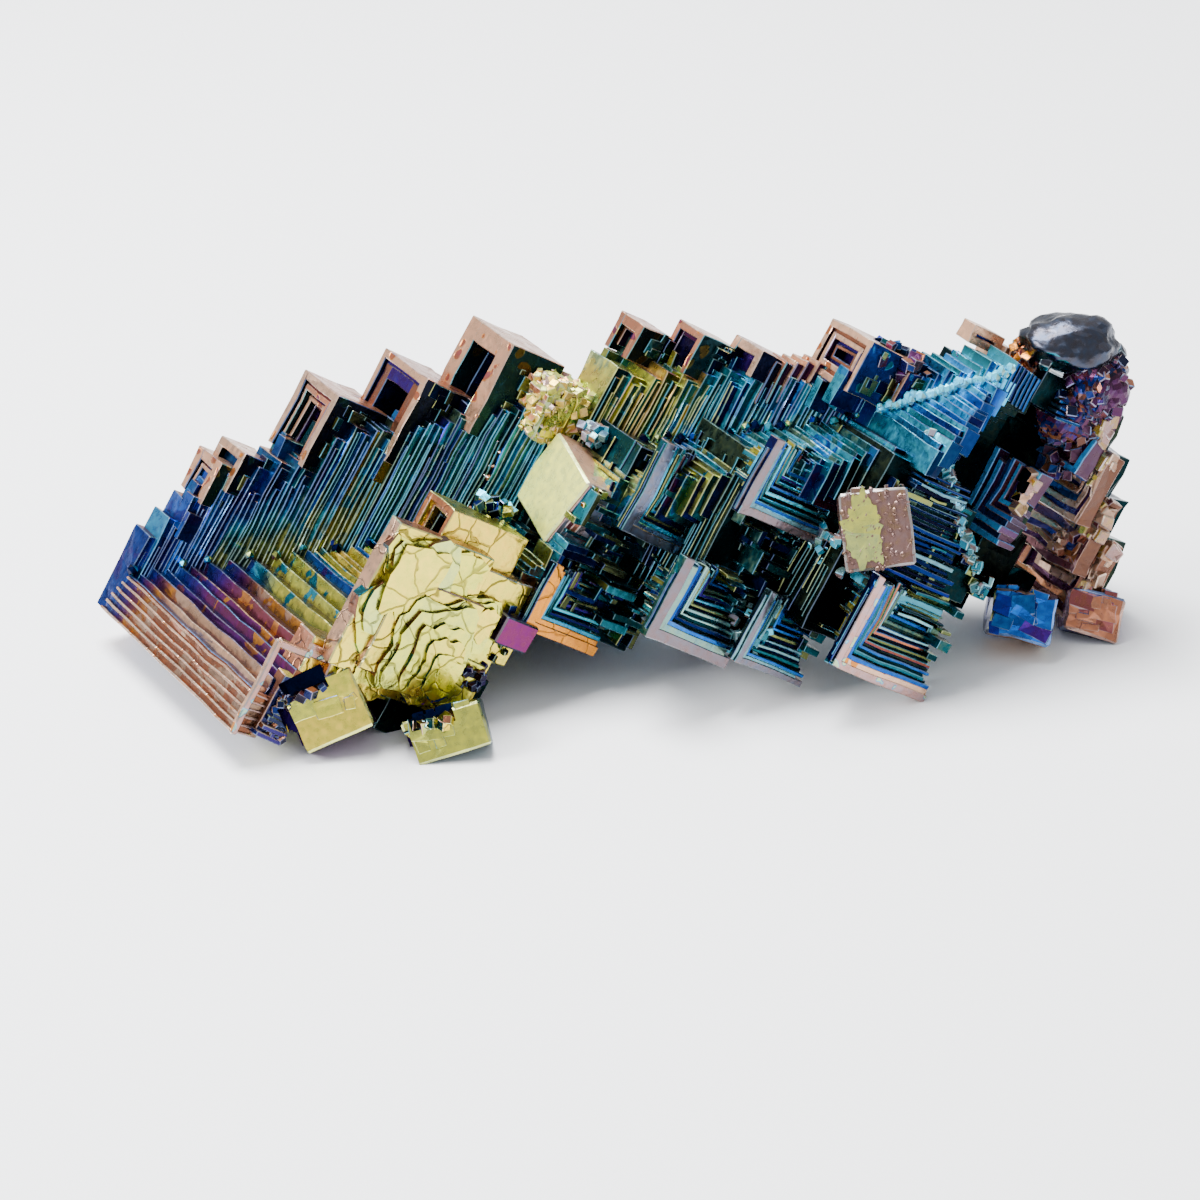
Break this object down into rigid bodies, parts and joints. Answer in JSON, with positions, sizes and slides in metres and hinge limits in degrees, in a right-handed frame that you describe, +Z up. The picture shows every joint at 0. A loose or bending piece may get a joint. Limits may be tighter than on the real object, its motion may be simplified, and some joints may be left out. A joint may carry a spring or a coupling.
{
  "type": "bismuth hopper crystal",
  "caption": "Hopper crystal of bismuth, about 92 mm long, with stepped square terraces and an iridescent oxide film, lying on its flat-cut feet.",
  "frame": {"origin": "middle of the bounding box, on the surface that the crystal rests on", "axes": "+X along the crystal from the broad terraced trough to the small crowded end, +Z up, -Y to the front"},
  "size_m": [0.0924, 0.039, 0.0299],
  "materials": {
    "oxide_film": "iridescent oxide film on bismuth metal: copper, gold, yellow-green, cyan, blue and purple by its thickness, satin to glossy"
  },
  "bodies": {
    "root": {"bismuth_crystal": "oxide_film"}
  },
  "joints": []
}
